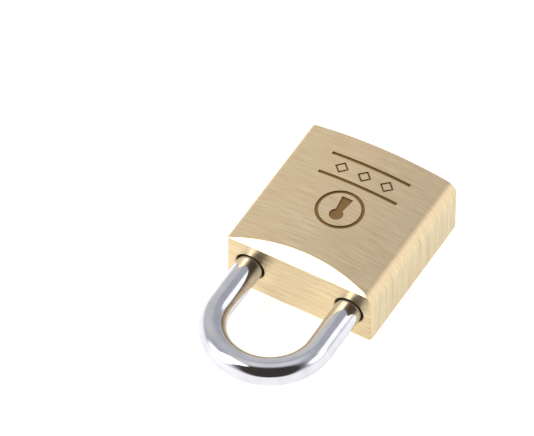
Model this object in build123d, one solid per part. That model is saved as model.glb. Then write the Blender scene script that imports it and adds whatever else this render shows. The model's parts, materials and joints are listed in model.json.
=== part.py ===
from build123d import *
import os
from math import sqrt

# A 30 mm solid brass padlock: a pin tumbler plug turns two sprung bolts that hold both shackle legs.
# It lies on its back with the shackle towards -Y and the keyway towards +Y. All sizes are in mm.
# It is drawn shut but unlocked, so the plug, the bolts and the shackle are each free to move.

# ---- driving dimensions -------------------------------------------------------------------------
# body: a bar with convex front and back, faced off square, with a bevel on both shackle-end edges
body_width = 30.0
body_height = 31.0
body_thickness = 14.0
crown_drop = 1.5
long_edge_radius = 1.0
soft_edge_radius = 2.8  # the front edge on the heel side, which is ground rounder than the rest
corner_radius = 0.9
edge_break = 0.2
bevel_setback = 2.6
bevel_rise = 1.4
side_wall = 2.0

# shackle: bent from round wire, with a short toe leg on the left and a long heel leg on the right
wire_diameter = 5.2
shackle_hole_clearance = 0.3
straight_leg = 10.3
neck_diameter = 4.0
collar_length = 2.0
neck_land = 0.5
pin_shoulder_gap = 0.3
toe_release = 0.7
tip_land = 1.25
tip_chamfer = 0.6
leg_end_gap = 0.5

# bolts: round noses with half-round tails that pass each other, in one channel across the body
bolt_diameter = 4.9
bolt_axis_depth = 6.5
bolt_nose_chamfer = 0.8
bolt_travel = 2.0
bolt_rest_gap = 0.1
notch_floor_gap = 0.25
tail_split = 0.1
tail_end_wall = 1.2
tail_web = 1.45
tail_gap = 1.0

# plug: turns a quarter turn in its bore, with two nubs on its inner end that move the bolts
plug_diameter = 9.0
nub_diameter = 1.4
nub_slot_gap = 0.1
nub_end_gap = 0.3
boss_length = 0.85
boss_margin = 0.2
plug_to_bolt_wall = 1.0
groove_depth = 0.9
groove_width = 2.1
groove_land = 0.85
keyway_end_wall = 0.4
keyway_width = 1.6
keyway_floor = -2.6
ward_shift = 0.25
ward_low = -0.95
ward_high = 1.35

# pin stacks: key pins in the plug, drivers and springs in chambers drilled from the left side
pin_diameter = 2.4
key_pin_lengths = (3.6, 4.8, 4.2, 5.2)
key_pin_seat = 0.15
key_pin_tip = 0.5
key_pin_heel = 0.3
key_pin_hole_top = 2.3
driver_length = 3.6
driver_chamfer = 0.2
first_pin_from_key_end = 3.6
pin_to_keyway_end = 0.25
pin_spring_wire = 0.28
pin_spring_turns = 6

# springs, retaining pins and slugs
bolt_spring_wire = 0.22
bolt_spring_turns = 7
bolt_spring_offset = 1.25
bolt_spring_radius = 0.72
spring_pocket_radius = 0.97
pocket_end_wall = 0.6
retaining_pin_diameter = 2.0
retaining_pin_reach = 3.0
slug_relief = 0.2

# named clearances
running_gap = 0.05
sliding_gap = 0.1
spring_end_gap = 0.05
ground_joint = 0.01
run_out = 1.0

# engraved mark: a ringed keyhole, and a band of lozenges between two rules
groove_line = 0.65
engraving_depth = 0.25
ring_diameter = 9.0
ring_depth = 14.5
keyhole_head = 2.6
keyhole_waist = 1.1
keyhole_skirt = 2.2
keyhole_drop = 3.0
rule_length = 16.0
band_depth = 23.4
band_height = 5.0
lozenge_count = 3
lozenge_side = 2.0
lozenge_pitch = 4.6

# ---- sizes worked out from them -----------------------------------------------------------------
half_width = body_width / 2
half_thickness = body_thickness / 2
wire_radius = wire_diameter / 2
shackle_hole_radius = wire_radius + shackle_hole_clearance
leg_x = half_width - side_wall - shackle_hole_radius
crown_radius = leg_x
exposed_height = straight_leg + crown_radius + wire_radius
end_face_y = exposed_height - (exposed_height + body_height) / 2
mid_z = half_thickness

bolt_radius = bolt_diameter / 2
channel_radius = bolt_radius + running_gap
nose_x = leg_x - shackle_hole_radius - bolt_rest_gap
notch_half = bolt_radius + sliding_gap
notch_floor_x = nose_x + bolt_travel + notch_floor_gap
toe_tip_depth = bolt_axis_depth + notch_half + tip_land
lift = toe_tip_depth + toe_release

plug_radius = plug_diameter / 2
plug_bore_radius = plug_radius + running_gap
plug_inner_depth = bolt_axis_depth + channel_radius + plug_to_bolt_wall
nub_radius = nub_diameter / 2
nub_offset = bolt_travel / 2
nub_reach = nub_offset * sqrt(2) + nub_radius
slot_half = nub_offset + nub_radius + nub_slot_gap
slot_floor = tail_web - bolt_radius
tail_end_x = slot_half + tail_end_wall
shoulder_x = tail_end_x + tail_gap
boss_radius = nub_reach + boss_margin
passage_radius = boss_radius + sliding_gap

retaining_radius = retaining_pin_diameter / 2
groove_radius = plug_radius - groove_depth
groove_start = plug_inner_depth + groove_land
groove_end = groove_start + groove_width
plug_pin_x = -(groove_radius + retaining_radius + running_gap)
plug_pin_depth = (groove_start + groove_end) / 2

neck_radius = neck_diameter / 2
neck_start = bolt_axis_depth + notch_half + neck_land
shackle_pin_depth = neck_start + retaining_radius + pin_shoulder_gap
shackle_pin_x = leg_x - neck_radius - retaining_radius - sliding_gap
collar_start = shackle_pin_depth + retaining_radius + lift + sliding_gap
heel_end_depth = collar_start + collar_length

pin_radius = pin_diameter / 2
chamber_radius = pin_radius + running_gap
keyway_end = groove_end + keyway_end_wall
last_pin_depth = keyway_end + pin_to_keyway_end + chamber_radius
first_pin_depth = body_height - first_pin_from_key_end
pin_count = len(key_pin_lengths)
pin_pitch = (first_pin_depth - last_pin_depth) / (pin_count - 1)
pin_depths = [first_pin_depth - i * pin_pitch for i in range(pin_count)]
slug_length = side_wall - slug_relief
slug_inner_x = half_width - slug_length
driver_end_x = plug_bore_radius + driver_length

# ---- helpers ------------------------------------------------------------------------------------
RIGHT = (1, 0, 0)
LEFT = (-1, 0, 0)
INWARD = (0, 1, 0)
OUTWARD = (0, -1, 0)
UP = (0, 0, 1)


def place(x, depth, z):
    """A point, from its distance across, its depth below the shackle end and its height off centre."""
    return (x, end_face_y + depth, mid_z + z)


def rod(start, axis, radius, length):
    """A cylinder that starts at a point and runs along an axis."""
    seat = (Align.CENTER, Align.CENTER, Align.MIN)
    return Plane(origin=start, z_dir=axis) * Cylinder(radius, length, align=seat)


def hole_mouth(start, axis, radius, width):
    """The cone that breaks the edge of a hole, opening along the axis out of the hole."""
    seat = (Align.CENTER, Align.CENTER, Align.MAX)
    return Plane(origin=start, z_dir=axis) * Cone(radius, radius + width, width, align=seat)


def coil_spring(start, axis, length, coil_radius, wire, turns):
    """A round wire compression spring that fills a length along an axis."""
    rise = length - wire
    path = Helix(pitch=rise / turns, height=rise, radius=coil_radius)
    section = Plane(origin=path @ 0, z_dir=path % 0) * Circle(wire / 2)
    coil = sweep(section, path=path, is_frenet=True)
    return Plane(origin=start, z_dir=axis) * Pos(0, 0, wire / 2) * coil


# ---- body ---------------------------------------------------------------------------------------
def body_blank():
    """The faced and bevelled bar before any hole is drilled."""
    side_z = half_thickness - crown_drop
    front = ThreePointArc((-half_width, side_z), (0, half_thickness), (half_width, side_z))
    right = Line((half_width, side_z), (half_width, -side_z))
    back = ThreePointArc((half_width, -side_z), (0, -half_thickness), (-half_width, -side_z))
    left = Line((-half_width, -side_z), (-half_width, side_z))
    section = make_face(Curve() + [front, right, back, left])
    towards_soft_edge = Axis((0, 0, 0), (1, 1, 0))
    section = fillet(section.vertices().sort_by(towards_soft_edge)[:-1], long_edge_radius)
    section = fillet(section.vertices().sort_by(towards_soft_edge)[-1:], soft_edge_radius)
    bar = extrude(Plane(origin=place(0, 0, 0), z_dir=OUTWARD, x_dir=RIGHT) * section, -body_height)
    bar = chamfer(bar.faces().sort_by(Axis.Y)[-1].edges(), edge_break)

    plan = RectangleRounded(body_width, body_height, corner_radius)
    block = extrude(Plane(place(0, body_height / 2, -half_thickness)) * plan, body_thickness)
    return (bar & block) - bevels()


def bevels():
    """What is milled off the front and back edges of the shackle end."""
    flat_half = half_thickness - bevel_rise
    slope = bevel_rise / bevel_setback
    outline = Polygon(
        (-run_out, flat_half - slope * run_out),
        (2 * bevel_setback, flat_half + 2 * bevel_rise),
        (-run_out, flat_half + 2 * bevel_rise),
        align=None,
    )
    across = Plane(origin=place(0, 0, 0), z_dir=RIGHT, x_dir=INWARD)
    front = extrude(across * outline, half_width, both=True)
    return front + mirror(front, Plane(place(0, 0, 0)))


def engraving(blank):
    """The grooves of the mark, an even depth below the crowned front."""
    ring_radius = ring_diameter / 2
    ring = Circle(ring_radius) - Circle(ring_radius - groove_line)
    head = Pos(0, keyhole_head / 2) * Circle(keyhole_head / 2)
    skirt = Polygon(
        (-keyhole_waist / 2, keyhole_head / 2),
        (-keyhole_skirt / 2, -keyhole_drop),
        (keyhole_skirt / 2, -keyhole_drop),
        (keyhole_waist / 2, keyhole_head / 2),
        align=None,
    )
    badge = Pos(0, end_face_y + ring_depth) * Rot(0, 0, 180) * (ring + head + skirt)

    rule = Rectangle(rule_length, groove_line)
    hollow = lozenge_side - groove_line
    lozenge = Rot(0, 0, 45) * (Rectangle(lozenge_side, lozenge_side) - Rectangle(hollow, hollow))
    band = Pos(0, band_height / 2) * rule + Pos(0, -band_height / 2) * rule
    for i in range(lozenge_count):
        x = (i - (lozenge_count - 1) / 2) * lozenge_pitch
        band += Pos(x, 0) * lozenge
    pattern = badge + Pos(0, end_face_y + band_depth) * band

    tool = extrude(Pos(0, 0, mid_z) * pattern, body_thickness)
    return tool - Pos(0, 0, -engraving_depth) * blank


def drillings():
    """Every hole in the body, as one solid."""
    bore_depth = body_height - plug_inner_depth
    cuts = rod(place(0, plug_inner_depth, 0), INWARD, plug_bore_radius, bore_depth + run_out)
    cuts += hole_mouth(place(0, body_height, 0), INWARD, plug_bore_radius, edge_break)
    cuts += rod(place(0, bolt_axis_depth, 0), INWARD, passage_radius, plug_inner_depth - bolt_axis_depth)
    for x, end in ((-leg_x, toe_tip_depth), (leg_x, heel_end_depth)):
        cuts += rod(place(x, -run_out, 0), INWARD, shackle_hole_radius, end + leg_end_gap + run_out)
        cuts += hole_mouth(place(x, 0, 0), OUTWARD, shackle_hole_radius, edge_break)
    channel_start = place(-half_width - run_out, bolt_axis_depth, 0)
    cuts += rod(channel_start, RIGHT, channel_radius, half_width + run_out + leg_x)
    for depth in pin_depths:
        start = place(-half_width - run_out, depth, 0)
        cuts += rod(start, RIGHT, chamber_radius, half_width + run_out - groove_radius)
    cuts += retaining_hole(plug_pin_x, plug_pin_depth)
    cuts += retaining_hole(shackle_pin_x, shackle_pin_depth)
    return cuts


def retaining_hole(x, depth):
    """A blind hole from the back, past the centre plane, for a retaining pin."""
    return rod(place(x, depth, -body_thickness), UP, retaining_radius, body_thickness + retaining_pin_reach)


blank = body_blank()
drilled = drillings()
body = blank - drilled - engraving(blank)


# ---- shackle ------------------------------------------------------------------------------------
def notch(side):
    """The square notch on a leg's inner side that its bolt enters."""
    inner_x = nose_x
    box = Box(notch_floor_x - inner_x, 2 * notch_half, wire_diameter)
    return Pos(*place(side * (notch_floor_x + inner_x) / 2, bolt_axis_depth, 0)) * box


def leg(x, end_depth):
    """One leg, from the crown to its chamfered end."""
    stock = rod(place(x, -straight_leg, 0), INWARD, wire_radius, straight_leg + end_depth)
    end_edge = stock.edges().sort_by(Axis.Y)[-1]
    return chamfer(end_edge, tip_chamfer)


def make_shackle():
    """The bent wire with its notches, neck and stop collar."""
    start = Plane.XZ * Pos(crown_radius, 0) * Circle(wire_radius)
    crown = revolve(start, Axis((0, 0, 0), (0, 0, -1)), 180)
    crown = Pos(*place(0, -straight_leg, 0)) * crown
    neck_length = collar_start - neck_start
    relief = rod(place(leg_x, neck_start, 0), INWARD, wire_radius + run_out, neck_length)
    relief -= rod(place(leg_x, neck_start, 0), INWARD, neck_radius, neck_length)
    shape = crown + leg(-leg_x, toe_tip_depth) + leg(leg_x, heel_end_depth)
    return shape - relief - notch(-1) - notch(1)


# ---- bolts and their springs --------------------------------------------------------------------
def make_bolt():
    """The heel bolt about the crossing of its channel and the plug's axis; the toe bolt is its twin."""
    nose = rod((shoulder_x, 0, 0), RIGHT, bolt_radius, nose_x - shoulder_x)
    nose = chamfer(nose.edges().sort_by(Axis.X)[-1], bolt_nose_chamfer)
    tail = rod((-tail_end_x, 0, 0), RIGHT, bolt_radius, tail_end_x + shoulder_x)
    upper = Pos(0, 0, tail_split / 2) * Box(
        4 * shoulder_x, bolt_diameter, bolt_diameter, align=(Align.CENTER, Align.CENTER, Align.MIN))
    slot = Pos(0, slot_floor, 0) * Box(
        2 * slot_half, bolt_diameter, 2 * bolt_diameter, align=(Align.CENTER, Align.MIN, Align.CENTER))
    pocket_start = (shoulder_x, 0, -bolt_spring_offset)
    pocket = rod(pocket_start, RIGHT, spring_pocket_radius, nose_x - shoulder_x - pocket_end_wall)
    return nose + (tail & upper) - slot - pocket


def make_bolt_spring():
    """The spring between the heel bolt's pocket and the toe bolt's tail."""
    start_x = tail_end_x + spring_end_gap
    length = nose_x - pocket_end_wall - spring_end_gap - start_x
    start = (start_x, 0, -bolt_spring_offset)
    return coil_spring(start, RIGHT, length, bolt_spring_radius, bolt_spring_wire, bolt_spring_turns)


# ---- plug and its key pins ----------------------------------------------------------------------
def keyway():
    """The warded slot that the key enters, open along the side away from the pins."""
    length = body_height - keyway_end + run_out
    lanes = (
        (-ward_shift, keyway_floor, ward_low),
        (ward_shift, ward_low, ward_high),
        (-ward_shift, ward_high, plug_radius + run_out),
    )
    cut = Part()
    for x, low, high in lanes:
        lane = Box(keyway_width, length, high - low, align=(Align.CENTER, Align.MIN, Align.MIN))
        cut += Pos(*place(x, keyway_end, low)) * lane
    return cut


def make_plug():
    """The turning plug with its groove, keyway, pin holes, boss and two nubs."""
    barrel = rod(place(0, plug_inner_depth, 0), INWARD, plug_radius, body_height - plug_inner_depth)
    barrel = chamfer(barrel.edges().sort_by(Axis.Y)[-1], edge_break)
    ring = rod(place(0, groove_start, 0), INWARD, plug_radius + run_out, groove_width)
    ring -= rod(place(0, groove_start, 0), INWARD, groove_radius, groove_width)
    shape = barrel - ring - keyway()
    for depth in pin_depths:
        shape -= rod(place(0, depth, -plug_radius - run_out), UP, chamber_radius,
                     plug_radius + run_out + key_pin_hole_top)
    shape += rod(place(0, plug_inner_depth, 0), OUTWARD, boss_radius, boss_length)
    nub_end = bolt_axis_depth + slot_floor + nub_end_gap
    for side in (-1, 1):
        start = place(side * nub_offset, plug_inner_depth, -side * nub_offset)
        shape += rod(start, OUTWARD, nub_radius, plug_inner_depth - nub_end)
    return shape


def make_key_pin(depth, length):
    """A key pin, resting on the bore with its pointed end in the keyway."""
    pin = rod(place(0, depth, key_pin_seat - plug_radius), UP, pin_radius, length)
    pin = chamfer(pin.edges().sort_by(Axis.Z)[-1], key_pin_tip)
    return chamfer(pin.edges().sort_by(Axis.Z)[0], key_pin_heel)


def make_driver_pin(depth):
    """A driver pin, standing on the plug's surface."""
    pin = rod(place(-plug_bore_radius, depth, 0), LEFT, pin_radius, driver_length)
    return chamfer(pin.edges().filter_by(GeomType.CIRCLE), driver_chamfer)


def make_pin_spring(depth):
    """The spring between a driver pin and its chamber's slug."""
    length = slug_inner_x - driver_end_x - 2 * spring_end_gap
    start = place(-driver_end_x - spring_end_gap, depth, 0)
    coil_radius = pin_radius - pin_spring_wire / 2
    return coil_spring(start, LEFT, length, coil_radius, pin_spring_wire, pin_spring_turns)


def make_slug(depth, radius):
    """A brass slug that closes a hole in the left side, ground flush."""
    return rod(place(-slug_inner_x, depth, 0), LEFT, radius - ground_joint, slug_length)


def make_retaining_pin(x, depth):
    """A retaining pin, ground flush with the crowned back."""
    hole = rod(place(x, depth, -body_thickness), UP, retaining_radius - ground_joint,
               body_thickness + retaining_pin_reach - spring_end_gap)
    return hole & blank


# ---- assembly -----------------------------------------------------------------------------------
bolt_centre = Pos(*place(0, bolt_axis_depth, 0))
bolt = make_bolt()
bolt_spring = make_bolt_spring()
turned = Rot(0, 180, 0)

nodes = {
    "body": body,
    "shackle": make_shackle(),
    "plug": make_plug(),
    "heel_bolt": bolt_centre * bolt,
    "toe_bolt": bolt_centre * turned * bolt,
    "heel_bolt_spring": bolt_centre * bolt_spring,
    "toe_bolt_spring": bolt_centre * turned * bolt_spring,
    "bolt_channel_slug": make_slug(bolt_axis_depth, channel_radius),
    "plug_retaining_pin": make_retaining_pin(plug_pin_x, plug_pin_depth),
    "shackle_retaining_pin": make_retaining_pin(shackle_pin_x, shackle_pin_depth),
}
for number, (depth, length) in enumerate(zip(pin_depths, key_pin_lengths), start=1):
    nodes[f"key_pin_{number}"] = make_key_pin(depth, length)
    nodes[f"driver_pin_{number}"] = make_driver_pin(depth)
    nodes[f"pin_spring_{number}"] = make_pin_spring(depth)
    nodes[f"chamber_slug_{number}"] = make_slug(depth, chamber_radius)

os.makedirs("parts", exist_ok=True)
for name, shape in nodes.items():
    export_step(shape, f"parts/{name}.step")
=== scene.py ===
"""A 30 mm solid brass padlock lying on its back on a lit white table.

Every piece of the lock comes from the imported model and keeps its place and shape. This script gives
each piece the finish of its metal, and adds the table, the lights and the camera.
Lengths are in metres. +X is across the width, -Y is the shackle end and +Z is out of the front.
"""

import json
import math

import bpy
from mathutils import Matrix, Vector

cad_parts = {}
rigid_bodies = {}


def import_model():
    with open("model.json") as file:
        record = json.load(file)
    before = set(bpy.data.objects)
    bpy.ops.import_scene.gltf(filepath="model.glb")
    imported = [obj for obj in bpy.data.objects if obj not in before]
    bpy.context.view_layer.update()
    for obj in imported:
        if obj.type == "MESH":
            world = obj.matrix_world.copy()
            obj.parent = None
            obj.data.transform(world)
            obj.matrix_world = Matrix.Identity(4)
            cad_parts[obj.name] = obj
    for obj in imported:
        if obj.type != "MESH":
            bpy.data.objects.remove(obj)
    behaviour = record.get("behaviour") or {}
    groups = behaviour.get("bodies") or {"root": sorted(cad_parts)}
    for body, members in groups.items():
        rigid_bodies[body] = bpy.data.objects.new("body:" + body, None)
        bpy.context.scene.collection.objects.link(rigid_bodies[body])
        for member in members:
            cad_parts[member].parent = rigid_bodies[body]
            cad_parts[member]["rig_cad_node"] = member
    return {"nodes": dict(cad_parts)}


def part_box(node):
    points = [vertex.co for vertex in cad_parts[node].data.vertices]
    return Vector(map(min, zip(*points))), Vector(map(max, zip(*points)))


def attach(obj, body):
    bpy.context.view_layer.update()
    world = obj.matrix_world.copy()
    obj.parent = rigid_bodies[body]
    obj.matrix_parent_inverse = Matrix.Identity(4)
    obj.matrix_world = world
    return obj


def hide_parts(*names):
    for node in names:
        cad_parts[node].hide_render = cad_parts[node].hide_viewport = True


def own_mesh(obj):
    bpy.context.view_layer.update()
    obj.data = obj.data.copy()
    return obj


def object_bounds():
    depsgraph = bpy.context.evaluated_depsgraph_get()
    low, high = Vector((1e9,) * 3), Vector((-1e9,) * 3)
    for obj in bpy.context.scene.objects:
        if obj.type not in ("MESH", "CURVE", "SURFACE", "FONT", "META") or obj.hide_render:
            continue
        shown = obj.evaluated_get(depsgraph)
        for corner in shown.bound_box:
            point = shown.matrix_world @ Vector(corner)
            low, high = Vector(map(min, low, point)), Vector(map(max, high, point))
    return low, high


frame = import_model()
cad_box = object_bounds()
nodes = frame["nodes"]

MM = 0.001

# ---- sizes of the lock --------------------------------------------------------------------------
body_low, body_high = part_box("body")
body_mid_y = (body_low.y + body_high.y) / 2
body_mid_z = (body_low.z + body_high.z) / 2

# The front is an arc across the width that drops this much at the sides.
CROWN_DROP = 1.5 * MM
crown_radius = (body_high.x**2 + CROWN_DROP**2) / (2 * CROWN_DROP)

# The engraving: its depth, and the middle and half size of the panel on the front that holds it.
ENGRAVING_DEPTH = 0.25 * MM
PANEL_MID_Y = body_mid_y + 2.5 * MM
PANEL_SCALE = (1 / (9.25 * MM), 1 / (9.75 * MM), 0.0)

# The bevel at the shackle end of the front slopes by this sine.
BEVEL_SINE = 0.474

# The plug has four pin chambers in a row.
CHAMBERS = (1, 2, 3, 4)


# ---- materials ----------------------------------------------------------------------------------
def srgb(code):
    """A hex colour as the linear colour that shaders use."""
    parts = [int(code[i : i + 2], 16) / 255 for i in (1, 3, 5)]
    linear = [c / 12.92 if c <= 0.04045 else ((c + 0.055) / 1.055) ** 2.4 for c in parts]
    return (*linear, 1.0)


def add(tree, kind, inputs=(), output=0, **settings):
    """Adds a node with its settings and links, and returns one of its outputs.

    inputs are values or other nodes' outputs, in the node's order or by socket name or number.
    """
    node = tree.nodes.new("ShaderNode" + kind)
    for name, value in settings.items():
        setattr(node, name, value)
    for key, value in inputs.items() if isinstance(inputs, dict) else enumerate(inputs):
        if isinstance(value, bpy.types.NodeSocket):
            tree.links.new(value, node.inputs[key])
        else:
            node.inputs[key].default_value = value
    return node.outputs[output] if node.outputs else None


def new_material(name):
    """An empty node material and its tree."""
    material = bpy.data.materials.new(name)
    material.use_nodes = True
    material.node_tree.nodes.clear()
    return material, material.node_tree


def grinding_lines(tree, place, length, pitch, detail, seed):
    """Brightness of the lines that grit leaves, which run along x of the place. Each line is about
    this long, and the next lies a pitch away in y.
    """
    inputs = {"Vector": place, "Location": (seed, seed, seed), "Scale": (1 / length, 1 / pitch, 1.0)}
    stretched = add(tree, "Mapping", inputs)
    return add(tree, "TexNoise", {"Vector": stretched, "Scale": 1.0, "Detail": detail, "Roughness": 0.6})


def blotches(tree, place, size, seed):
    """Soft patches of about this size."""
    moved = add(tree, "Mapping", {"Vector": place, "Location": (seed * MM, 0, 0)})
    return add(tree, "TexNoise", {"Vector": moved, "Scale": 1 / size, "Detail": 2.0})


def finish_metal(tree, colour, roughness, marks, mark_depth, extra=None):
    """Ends a material in bare metal, with marks cut to this depth."""
    surface = add(tree, "Bump", {"Height": marks, "Strength": 1.0, "Distance": mark_depth})
    inputs = {"Base Color": colour, "Roughness": roughness, "Metallic": 1.0, "Normal": surface}
    shader = add(tree, "BsdfPrincipled", {**inputs, **(extra or {})})
    add(tree, "OutputMaterial", {"Surface": shader})


def belt_ground_brass():
    """CuZn39Pb3 brass, extruded and ground on a belt. It looks pale and satin, with lines across the
    width on the front, back and ends. On the sides they run through the thickness and are coarser,
    with olive in them. The bevel is milled bright, and the engraving is painted brown as shade in its
    grooves, darker on the walls than on the floor.
    """
    material, tree = new_material("belt_ground_brass")
    place = add(tree, "TexCoord", output="Object")
    normal = add(tree, "TexCoord", output="Normal")
    normal_x, normal_y, _ = add(tree, "SeparateXYZ", [normal]).node.outputs
    x, y, z = add(tree, "SeparateXYZ", [place]).node.outputs
    on_end = add(tree, "Math", [normal_y], operation="ABSOLUTE")
    on_end = add(tree, "MapRange", (on_end, 0.60, 0.80), interpolation_type="SMOOTHSTEP")
    on_side = add(tree, "Math", [normal_x], operation="ABSOLUTE")
    on_side = add(tree, "MapRange", (on_side, 0.70, 0.97), interpolation_type="SMOOTHSTEP")

    # lines of 120 grit, drawn about twice as coarse as they are so that they show
    on_front = add(tree, "CombineXYZ", (x, y, 0.0))
    on_end_face = add(tree, "CombineXYZ", (x, z, 0.1))
    flat = add(tree, "Mix", {0: on_end, 4: on_front, 5: on_end_face}, 1, data_type="VECTOR")
    fine = grinding_lines(tree, flat, 5 * MM, 0.11 * MM, 3.0, 11.0)
    coarse = grinding_lines(tree, flat, 12 * MM, 0.50 * MM, 2.0, 23.0)
    lines = add(tree, "Mix", {0: 0.3, 2: fine, 3: coarse})
    upright = add(tree, "CombineXYZ", (z, y, 0.2))
    fine = grinding_lines(tree, upright, 8 * MM, 0.13 * MM, 2.0, 31.0)
    coarse = grinding_lines(tree, upright, 22 * MM, 0.42 * MM, 1.0, 47.0)
    side_lines = add(tree, "Mix", {0: 0.35, 2: fine, 3: coarse})
    marks = add(tree, "Mix", {0: on_side, 2: lines, 3: side_lines})

    # the bevel is where the surface leans to the shackle end by its own slope
    lean = add(tree, "Math", (normal_y, -1.0), operation="MULTIPLY")
    off_slope = add(tree, "Math", (lean, BEVEL_SINE), operation="SUBTRACT")
    off_slope = add(tree, "Math", [off_slope], operation="ABSOLUTE")
    on_bevel = add(tree, "MapRange", (off_slope, 0.10, 0.03, 0.0, 1.0), interpolation_type="SMOOTHSTEP")

    # depth below the arc of the front, which only the engraving reaches inside its own panel
    height = add(tree, "Math", (z, body_high.z - crown_radius), operation="SUBTRACT")
    on_arc = add(tree, "CombineXYZ", (x, 0.0, height))
    radius = add(tree, "VectorMath", [on_arc], "Value", operation="LENGTH")
    sunk = add(tree, "Math", (crown_radius, radius), operation="SUBTRACT")
    below = add(tree, "MapRange", (sunk, 0.02 * MM, 0.12 * MM), interpolation_type="SMOOTHSTEP")
    above = add(tree, "Math", (sunk, 2 * ENGRAVING_DEPTH), operation="LESS_THAN")
    off_panel = add(tree, "VectorMath", (place, (0, PANEL_MID_Y, 0)), operation="SUBTRACT")
    off_panel = add(tree, "VectorMath", (off_panel, PANEL_SCALE), operation="MULTIPLY")
    off_panel = add(tree, "VectorMath", [off_panel], operation="ABSOLUTE")
    panel_x, panel_y, _ = add(tree, "SeparateXYZ", [off_panel]).node.outputs
    furthest = add(tree, "Math", (panel_x, panel_y), operation="MAXIMUM")
    in_panel = add(tree, "Math", (furthest, 1.0), operation="LESS_THAN")
    engraved = add(tree, "Math", (below, above), operation="MULTIPLY")
    engraved = add(tree, "Math", (engraved, in_panel), operation="MULTIPLY")
    # the floor of the grooves, which the painted shade keeps lighter than their walls
    floor = (sunk, 0.80 * ENGRAVING_DEPTH, 0.97 * ENGRAVING_DEPTH)
    on_floor = add(tree, "MapRange", floor, interpolation_type="SMOOTHSTEP")

    bright = add(tree, "MapRange", (lines, 0.33, 0.67), interpolation_type="SMOOTHSTEP")
    colour = add(tree, "Mix", {0: bright, 6: srgb("#d5bc92"), 7: srgb("#eddab6")}, 2, data_type="RGBA")
    blush = blotches(tree, place, 9 * MM, 3.0)
    blush = add(tree, "MapRange", (blush, 0.35, 0.70, 0.0, 0.4), interpolation_type="SMOOTHSTEP")
    colour = add(tree, "Mix", {0: blush, 6: colour, 7: srgb("#e7caa6")}, 2, data_type="RGBA")
    bright = add(tree, "MapRange", (lines, 0.34, 0.60), interpolation_type="SMOOTHSTEP")
    ends = add(tree, "Mix", {0: bright, 6: srgb("#c9b182"), 7: srgb("#e4d0ab")}, 2, data_type="RGBA")
    colour = add(tree, "Mix", {0: on_end, 6: colour, 7: ends}, 2, data_type="RGBA")
    bright = add(tree, "MapRange", (side_lines, 0.32, 0.60), interpolation_type="SMOOTHSTEP")
    sides = add(tree, "Mix", {0: bright, 6: srgb("#c1ae82"), 7: srgb("#dfd0ae")}, 2, data_type="RGBA")
    colour = add(tree, "Mix", {0: on_side, 6: colour, 7: sides}, 2, data_type="RGBA")
    colour = add(tree, "Mix", {0: on_bevel, 6: colour, 7: srgb("#e0c9a2")}, 2, data_type="RGBA")
    # painted shade in the engraved grooves: dark brown on the walls, a lighter brown on the floor
    painted_groove_shade = add(tree, "Mix", {0: on_floor, 6: srgb("#6a4f2b"), 7: srgb("#987a4c")}, 2, data_type="RGBA")
    colour = add(tree, "Mix", {0: engraved, 6: colour, 7: painted_groove_shade}, 2, data_type="RGBA")

    satin = (marks, 0.30, 0.70, 0.37, 0.49)
    roughness = add(tree, "MapRange", satin, interpolation_type="SMOOTHSTEP")
    roughness = add(tree, "Mix", {0: on_end, 2: roughness, 3: 0.37})
    roughness = add(tree, "Mix", {0: on_bevel, 2: roughness, 3: 0.21})
    roughness = add(tree, "Mix", {0: engraved, 2: roughness, 3: 0.55})
    relief = add(tree, "MapRange", (on_bevel, 0.0, 1.0, 1.0, 0.05))
    relief = add(tree, "Math", (marks, relief), operation="MULTIPLY")

    # light spreads across the lines, which is along y on the faces and z on the ends
    across = add(tree, "Mix", {0: on_end, 4: (0, 1, 0), 5: (0, 0, 1)}, 1, data_type="VECTOR")
    finish_metal(tree, colour, roughness, relief, 0.012 * MM, {"Anisotropic": 0.3, "Tangent": across})
    return material


def buffed_chrome():
    """Decorative chrome on case-hardened steel wire, buffed on a wheel. It is a bluish mirror, a
    little hazy in patches, with ripples that bend what it reflects.
    """
    material, tree = new_material("buffed_chrome")
    place = add(tree, "TexCoord", output="Object")
    haze = blotches(tree, place, 3 * MM, 5.0)
    ripple = blotches(tree, place, 4 * MM, 9.0)
    hazy = add(tree, "MapRange", (haze, 0.35, 0.70), interpolation_type="SMOOTHSTEP")
    colour = add(tree, "Mix", {0: hazy, 6: srgb("#d3d3d7"), 7: srgb("#cacace")}, 2, data_type="RGBA")
    roughness = add(tree, "MapRange", (haze, 0.30, 0.70, 0.07, 0.12), interpolation_type="SMOOTHSTEP")
    finish_metal(tree, colour, roughness, ripple, 0.02 * MM)
    return material


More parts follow.
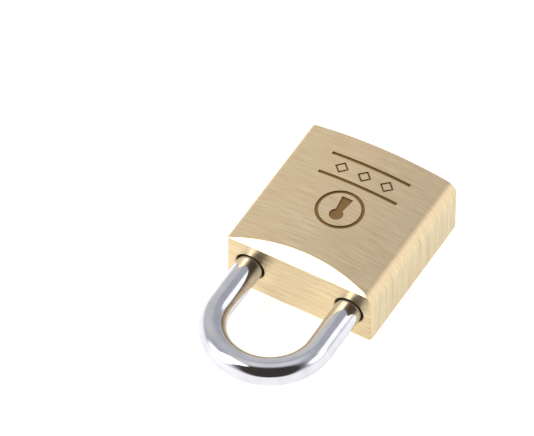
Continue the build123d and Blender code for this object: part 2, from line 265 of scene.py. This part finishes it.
def turned_metal(name, light, dark, roughness, pitch, axis):
    """A metal from the lathe, which looks ringed: fine bright and dull rings a pitch apart, along
    the flanks and round the ends, with dull patches of oil and handling. The axis names the
    piece's own: x, y or z, through the middle of the lock.
    """
    material, tree = new_material(name)
    place = add(tree, "TexCoord", output="Object")
    normal = add(tree, "TexCoord", output="Normal")
    unit = {"x": (1, 0, 0), "y": (0, 1, 0), "z": (0, 0, 1)}[axis]
    plane = [1 - part for part in unit]
    from_middle = add(tree, "VectorMath", (place, (0, 0, body_mid_z)), operation="SUBTRACT")
    along = add(tree, "VectorMath", (from_middle, unit), "Value", operation="DOT_PRODUCT")
    outward = add(tree, "VectorMath", (from_middle, plane), operation="MULTIPLY")
    outward = add(tree, "VectorMath", [outward], "Value", operation="LENGTH")
    on_end = add(tree, "VectorMath", (normal, unit), "Value", operation="DOT_PRODUCT")
    on_end = add(tree, "Math", [on_end], operation="ABSOLUTE")
    on_end = add(tree, "MapRange", (on_end, 0.5, 0.8), interpolation_type="SMOOTHSTEP")
    ring = add(tree, "Mix", {0: on_end, 2: along, 3: outward})
    ring = add(tree, "CombineXYZ", (0.0, ring, 0.0))
    rings = grinding_lines(tree, ring, 1.0, pitch, 3.0, 17.0)
    dull = blotches(tree, place, 1.5 * MM, 29.0)
    dull = add(tree, "MapRange", (dull, 0.45, 0.75, 0.0, 0.3), interpolation_type="SMOOTHSTEP")
    bright = add(tree, "MapRange", (rings, 0.35, 0.65), interpolation_type="SMOOTHSTEP")
    colour = add(tree, "Mix", {0: bright, 6: srgb(dark), 7: srgb(light)}, 2, data_type="RGBA")
    colour = add(tree, "Mix", {0: dull, 6: colour, 7: srgb(dark)}, 2, data_type="RGBA")
    spread = (rings, 0.3, 0.7, roughness - 0.05, roughness + 0.08)
    roughness = add(tree, "MapRange", spread, interpolation_type="SMOOTHSTEP")
    finish_metal(tree, colour, roughness, rings, 0.006 * MM)
    return material


def drawn_spring_wire():
    """Hard-drawn stainless wire, stress-relieved after coiling. It looks grey and smeared by the die,
    with straw-coloured patches from the oven.
    """
    material, tree = new_material("drawn_spring_wire")
    place = add(tree, "TexCoord", output="Object")
    smear = grinding_lines(tree, place, 0.5 * MM, 0.12 * MM, 3.0, 13.0)
    straw = blotches(tree, place, 2 * MM, 19.0)
    bright = add(tree, "MapRange", (smear, 0.35, 0.65), interpolation_type="SMOOTHSTEP")
    colour = add(tree, "Mix", {0: bright, 6: srgb("#a9aaae"), 7: srgb("#c6c7ca")}, 2, data_type="RGBA")
    warm = add(tree, "MapRange", (straw, 0.45, 0.75, 0.0, 0.5), interpolation_type="SMOOTHSTEP")
    colour = add(tree, "Mix", {0: warm, 6: colour, 7: srgb("#a3966f")}, 2, data_type="RGBA")
    roughness = add(tree, "MapRange", (straw, 0.3, 0.7, 0.24, 0.36), interpolation_type="SMOOTHSTEP")
    finish_metal(tree, colour, roughness, smear, 0.004 * MM)
    return material


def finish_pieces(material, *names):
    """Gives pieces of the lock a material."""
    for name in names:
        for slot in nodes[name].material_slots:
            slot.material = material


def each(name):
    """The names of a piece that each of the four chambers has."""
    return [f"{name}_{chamber}" for chamber in CHAMBERS]


plug_brass = turned_metal("turned_plug_brass", "#ecd6a2", "#cbb078", 0.24, 0.14 * MM, "y")
bolt_brass = turned_metal("turned_nickel_brass", "#ddd6c2", "#bdb59e", 0.30, 0.20 * MM, "x")
key_pin_brass = turned_metal("turned_key_pin_brass", "#eed9a6", "#cdb27a", 0.22, 0.10 * MM, "z")
driver_brass = turned_metal("turned_driver_brass", "#e3cb94", "#bfa46c", 0.26, 0.10 * MM, "x")
pin_steel = turned_metal("centreless_ground_steel", "#c4c6ca", "#a5a8ad", 0.26, 0.09 * MM, "z")

finish_pieces(belt_ground_brass(), "body", "bolt_channel_slug", *each("chamber_slug"))
finish_pieces(buffed_chrome(), "shackle")
finish_pieces(plug_brass, "plug")
finish_pieces(bolt_brass, "toe_bolt", "heel_bolt")
finish_pieces(key_pin_brass, *each("key_pin"))
finish_pieces(driver_brass, *each("driver_pin"))
finish_pieces(pin_steel, "plug_retaining_pin", "shackle_retaining_pin")
finish_pieces(drawn_spring_wire(), "toe_bolt_spring", "heel_bolt_spring", *each("pin_spring"))


# ---- springs ------------------------------------------------------------------------------------
def sprung_chamber(chamber):
    """Puts a copy in place of a chamber's spring, fixed to the case and with a mesh of its own. In the
    lock the spring shortens onto its slug as a key pushes the driver pin out of the plug's way, by as
    much as the pin travels; nothing here makes the copy shorten.
    """
    name = f"pin_spring_{chamber}"
    bpy.ops.object.select_all(action="DESELECT")
    nodes[name].select_set(True)
    bpy.context.view_layer.objects.active = nodes[name]
    bpy.ops.object.duplicate()
    spring = bpy.context.object
    spring.name = f"chamber_spring_{chamber}"
    del spring["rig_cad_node"]  # the copy is a piece of its own
    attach(spring, "case")
    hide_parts(name)
    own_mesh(spring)


for chamber in CHAMBERS:
    sprung_chamber(chamber)


# ---- table --------------------------------------------------------------------------------------
def lit_table():
    """A white acrylic table top, lit from below, so that shadows on it stay pale."""
    bpy.ops.object.select_all(action="DESELECT")
    bpy.ops.mesh.primitive_plane_add(size=12.0, location=(0, 0, cad_box[0].z))
    top = bpy.context.object
    top.name = "table_top"
    material, tree = new_material("frosted_white_acrylic")
    frost = blotches(tree, add(tree, "TexCoord", output="Object"), 4 * MM, 7.0)
    frost = add(tree, "MapRange", (frost, 0.3, 0.7, 0.5, 0.6), interpolation_type="SMOOTHSTEP")
    inputs = {"Base Color": srgb("#dedede"), "Roughness": frost}
    glow = {"Emission Color": srgb("#ffffff"), "Emission Strength": 0.7}
    shader = add(tree, "BsdfPrincipled", {**inputs, **glow})
    add(tree, "OutputMaterial", {"Surface": shader})
    top.data.materials.append(material)


lit_table()

# ---- view ---------------------------------------------------------------------------------------
AZIMUTH = math.radians(30.07)
ELEVATION = math.radians(49.3)
toward = Vector((math.sin(AZIMUTH), -math.cos(AZIMUTH), 0))
right = Vector((math.cos(AZIMUTH), math.sin(AZIMUTH), 0))
back = toward * math.cos(ELEVATION) + Vector((0, 0, math.sin(ELEVATION)))
up = back.cross(right)


# ---- light --------------------------------------------------------------------------------------
def softbox(name, direction, distance, size, power):
    """A rectangular area light that faces the lock from a direction."""
    data = bpy.data.lights.new(name, "AREA")
    data.shape = "RECTANGLE"
    data.size, data.size_y = size
    data.energy = power
    lamp = bpy.data.objects.new(name, data)
    bpy.context.scene.collection.objects.link(lamp)
    away = Vector(direction).normalized()
    lamp.location = away * distance
    lamp.rotation_mode = "QUATERNION"
    lamp.rotation_quaternion = away.to_track_quat("Z", "Y")


softbox("key_softbox", (-0.46, -0.49, 0.74), 0.9, (0.38, 0.58), 3.2)

# Brightness of what stands round the table.
TABLE_WHITE = (1.35, 1.35, 1.35, 1.0)
WALL_GREY = (0.585, 0.60, 0.665, 1.0)
CEILING_WHITE = (1.0, 1.0, 1.02, 1.0)
ROOM_DARK = (0.065, 0.057, 0.053, 1.0)

# Paper sheets hung round the table. Each has the direction of its middle, the cosines of the angles
# off it where the sheet fades in and where it is full, and its brightness.
# The first is broad and lightens the toe side of the front. The second draws the pale line down each
# leg. The last two are the white patches either side of the dark in the loop.
SHEETS = (
    ((-0.70, 0.50, 0.50), 0.75, 1.00, 0.84),
    ((0.62, 0.56, 0.54), 0.94, 0.985, 1.7),
    ((0.86, 0.25, 0.44), 0.94, 0.985, 1.8),
    ((-0.70, -0.55, 0.40), 0.90, 0.96, 1.8),
)


def studio():
    """Grey walls, white below the table and where sheets hang, and the dark room behind the camera."""
    world = bpy.data.worlds.new("studio")
    bpy.context.scene.world = world
    world.use_nodes = True
    tree = world.node_tree
    tree.nodes.clear()
    direction = add(tree, "TexCoord", output="Generated")
    height = add(tree, "SeparateXYZ", [direction], output=2)
    walls = add(tree, "MapRange", (height, 0.05, 0.40), interpolation_type="SMOOTHSTEP")
    walls = add(tree, "Mix", {0: walls, 6: TABLE_WHITE, 7: WALL_GREY}, 2, data_type="RGBA")
    ceiling = add(tree, "MapRange", (height, 0.86, 0.99), interpolation_type="SMOOTHSTEP")
    walls = add(tree, "Mix", {0: ceiling, 6: walls, 7: CEILING_WHITE}, 2, data_type="RGBA")
    for middle, start, full, white in SHEETS:
        middle = Vector(middle).normalized()
        near = add(tree, "VectorMath", (direction, middle), "Value", operation="DOT_PRODUCT")
        near = add(tree, "MapRange", (near, start, full), interpolation_type="SMOOTHSTEP")
        sheet = {0: near, 6: walls, 7: (white, white, white, 1.0)}
        walls = add(tree, "Mix", sheet, 2, data_type="RGBA")

    # the dark is a round patch that ends at the table's far edge
    centre = (back + toward * 0.3).normalized()
    facing = add(tree, "VectorMath", (direction, centre), "Value", operation="DOT_PRODUCT")
    facing = add(tree, "MapRange", (facing, 0.62, 0.84), interpolation_type="SMOOTHSTEP")
    raised = add(tree, "MapRange", (height, -0.02, 0.08), interpolation_type="SMOOTHSTEP")
    dark = add(tree, "Math", (facing, raised), operation="MULTIPLY")
    colour = add(tree, "Mix", {0: dark, 6: walls, 7: ROOM_DARK}, 2, data_type="RGBA")
    background = add(tree, "Background", {"Color": colour, "Strength": 0.95})
    add(tree, "OutputWorld", {"Surface": background})


studio()


# ---- camera -------------------------------------------------------------------------------------
def long_lens():
    """A long lens that looks down on the lock, which sits right of and above the frame's middle."""
    distance = 1.25
    data = bpy.data.cameras.new("camera")
    data.sensor_width = 36.0
    data.lens = 469.9
    data.clip_start = 0.01
    data.clip_end = 50.0
    camera = bpy.data.objects.new("camera", data)
    bpy.context.scene.collection.objects.link(camera)
    aim = Vector((0, body_mid_y, 1.4 * MM)) - right * 13.43 * MM + up * 6.03 * MM
    camera.location = aim + back * distance
    camera.rotation_mode = "QUATERNION"
    camera.rotation_quaternion = back.to_track_quat("Z", "Y")
    bpy.context.scene.camera = camera
    bpy.context.scene.view_settings.view_transform = "Standard"


long_lens()
